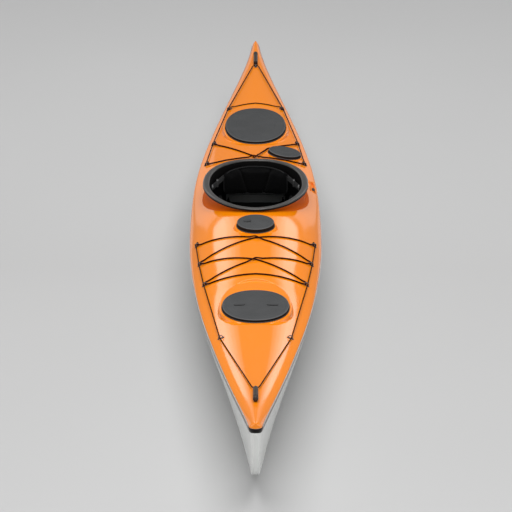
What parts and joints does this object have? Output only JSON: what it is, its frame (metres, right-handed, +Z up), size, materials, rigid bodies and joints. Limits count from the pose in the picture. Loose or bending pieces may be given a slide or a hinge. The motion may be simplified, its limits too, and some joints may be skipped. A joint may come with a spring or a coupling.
{
  "type": "sea kayak",
  "caption": "Single-seat sea kayak with a crowned deck, oval cockpit, sealed hatches, elastic deck cords, end toggles and a drop skeg.",
  "frame": {"origin": "on the floor plane, under the middle of the length, on the centre line", "axes": "+Y from the bow to the stern, +X to port, +Z up, with the keel's flat on z = 0"},
  "size_m": [0.5542, 5, 0.3772],
  "materials": {
    "gelcoat_hull": "polished pale gelcoat over laminate",
    "gelcoat_deck": "polished orange gelcoat with a fine metallic fleck",
    "seam_trim": "satin dark trim",
    "end_cap_plastic": "satin moulded black",
    "coaming_plastic": "satin-gloss dark laminate",
    "rim_plastic": "matt moulded black",
    "hatch_rubber": "fine matt grey-black rubber",
    "seat_plastic": "satin dark plastic",
    "hard_plastic": "satin moulded black",
    "toggle_plastic": "satin grey plastic with worn edges",
    "pad_foam": "dark woven cover over foam",
    "strap_webbing": "ribbed black webbing",
    "deck_cord": "braided dark maroon cord",
    "bulkhead_board": "pale grey laminate board",
    "pin_steel": "turned stainless steel"
  },
  "bodies": {
    "kayak": {"hull_shell": "gelcoat_hull", "deck_shell": "gelcoat_deck", "bow_cap": "end_cap_plastic", "stern_cap": "end_cap_plastic", "cockpit_coaming": "coaming_plastic", "front_bulkhead": "bulkhead_board", "rear_bulkhead": "bulkhead_board", "day_bulkhead": "bulkhead_board", "skeg_box": "bulkhead_board", "skeg_pivot_pin": "pin_steel", "skeg_slider_track": "gelcoat_deck", "skeg_cable_tube": "hard_plastic", "seat_pan": "seat_plastic", "deck_pod": "hard_plastic", "fore_bungee": "deck_cord", "aft_bungee": "deck_cord", "aft_bungee_hook": "deck_cord", "aft_cross_line": "deck_cord", "fore_deck_line": "deck_cord", "aft_deck_line": "deck_cord", "fitting_bow": "hard_plastic", "fitting_stern": "hard_plastic", "bow_hatch_rim": "rim_plastic", "stern_hatch_rim": "rim_plastic", "day_hatch_rim": "rim_plastic", "deck_hatch_rim": "rim_plastic", "seam_band_port": "seam_trim", "hip_pad_port": "pad_foam", "foot_rail_port": "hard_plastic", "fitting_fore_rear_port": "hard_plastic", "fitting_fore_middle_port": "hard_plastic", "fitting_fore_front_port": "hard_plastic", "fitting_bow_side_port": "hard_plastic", "fitting_aft_front_port": "hard_plastic", "fitting_aft_middle_port": "hard_plastic", "fitting_aft_rear_port": "hard_plastic", "seam_band_starboard": "seam_trim", "hip_pad_starboard": "pad_foam", "foot_rail_starboard": "hard_plastic", "fitting_fore_rear_starboard": "hard_plastic", "fitting_fore_middle_starboard": "hard_plastic", "fitting_fore_front_starboard": "hard_plastic", "fitting_bow_side_starboard": "hard_plastic", "fitting_aft_front_starboard": "hard_plastic", "fitting_aft_middle_starboard": "hard_plastic", "fitting_aft_rear_starboard": "hard_plastic"},
    "bow_hatch_cover": {"bow_hatch_cover": "hatch_rubber"},
    "stern_hatch_cover": {"stern_hatch_cover": "hatch_rubber"},
    "day_hatch_cover": {"day_hatch_cover": "hatch_rubber"},
    "deck_hatch_cover": {"deck_hatch_cover": "hatch_rubber"},
    "skeg": {"skeg_blade": "hard_plastic"},
    "skeg_knob": {"skeg_slider": "hard_plastic"},
    "pedal_port": {"foot_pedal_port": "hard_plastic"},
    "pedal_starboard": {"foot_pedal_starboard": "hard_plastic"},
    "toggle_bow": {"bow_toggle": "toggle_plastic"},
    "toggle_stern": {"stern_toggle": "toggle_plastic"},
    "back_rest": {"back_band": "pad_foam", "back_band_strap_port": "strap_webbing", "back_band_strap_starboard": "strap_webbing"}
  },
  "joints": [
    {"name": "bow_hatch_lift", "type": "slide", "parent": "kayak", "child": "bow_hatch_cover", "axis": [0, -0.0105, 0.9999], "range_m": [0, 0.15]},
    {"name": "stern_hatch_lift", "type": "slide", "parent": "kayak", "child": "stern_hatch_cover", "axis": [0, -0.0087, 1], "range_m": [0, 0.15]},
    {"name": "day_hatch_lift", "type": "slide", "parent": "kayak", "child": "day_hatch_cover", "axis": [0.1564, 0, 0.9877], "range_m": [0, 0.15]},
    {"name": "deck_hatch_lift", "type": "slide", "parent": "kayak", "child": "deck_hatch_cover", "axis": [0, -0.0872, 0.9962], "range_m": [0, 0.15]},
    {"name": "skeg_swing", "type": "hinge", "parent": "kayak", "child": "skeg", "pos_m": [0, 1.64, 0.052], "axis": [-1, 0, 0], "range_deg": [0, 58]},
    {"name": "skeg_slide", "type": "slide", "parent": "kayak", "child": "skeg_knob", "axis": [-0.047, 0.9989, -0.006], "range_m": [0, 0.076]},
    {"name": "pedal_slide_port", "type": "slide", "parent": "kayak", "child": "pedal_port", "axis": [0, 1, 0], "range_m": [-0.12, 0.12]},
    {"name": "pedal_slide_starboard", "type": "slide", "parent": "kayak", "child": "pedal_starboard", "axis": [0, 1, 0], "range_m": [-0.12, 0.12]},
    {"name": "toggle_swing_bow", "type": "hinge", "parent": "kayak", "child": "toggle_bow", "pos_m": [0, -2.08666, 0.35033], "axis": [-1, 0, 0], "range_deg": [0, 110]},
    {"name": "toggle_swing_stern", "type": "hinge", "parent": "kayak", "child": "toggle_stern", "pos_m": [0, 2.13078, 0.32956], "axis": [1, 0, 0], "range_deg": [0, 110]},
    {"name": "back_rest_tilt", "type": "hinge", "parent": "kayak", "child": "back_rest", "pos_m": [0, 0.405, 0.296], "axis": [1, 0, 0], "range_deg": [-12, 8]}
  ],
  "couplings": [
    {"joint": "skeg_slide", "follows": "skeg_swing", "m_per_rad": 0.075}
  ]
}
